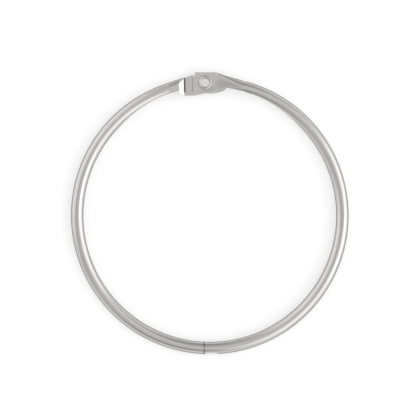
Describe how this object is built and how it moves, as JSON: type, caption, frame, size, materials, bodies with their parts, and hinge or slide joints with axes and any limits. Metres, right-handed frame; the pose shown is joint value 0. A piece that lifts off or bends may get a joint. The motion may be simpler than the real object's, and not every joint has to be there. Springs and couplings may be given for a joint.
{
  "type": "binder ring",
  "caption": "Round hinged binder ring of rolled nickel-plated steel: two half rings turn on a hollow rivet and snap shut opposite it.",
  "frame": {"origin": "centre of the closed ring, on the middle plane of its tube", "axes": "+Z along the ring's axis and up as it lies; +Y towards the hinge; +X towards the half with the fork"},
  "size_m": [0.0836, 0.0849, 0.0038],
  "materials": {
    "nickel_plate": "bright nickel plate"
  },
  "bodies": {
    "fork_side": {"fork_half": "nickel_plate", "hinge_eyelet": "nickel_plate"},
    "tongue_side": {"tongue_half": "nickel_plate"}
  },
  "joints": [
    {"name": "ring_hinge", "type": "hinge", "parent": "fork_side", "child": "tongue_side", "pos_m": [-0.0014, 0.03995, 0], "axis": [0, 0, -1], "range_deg": [0, 114]}
  ]
}
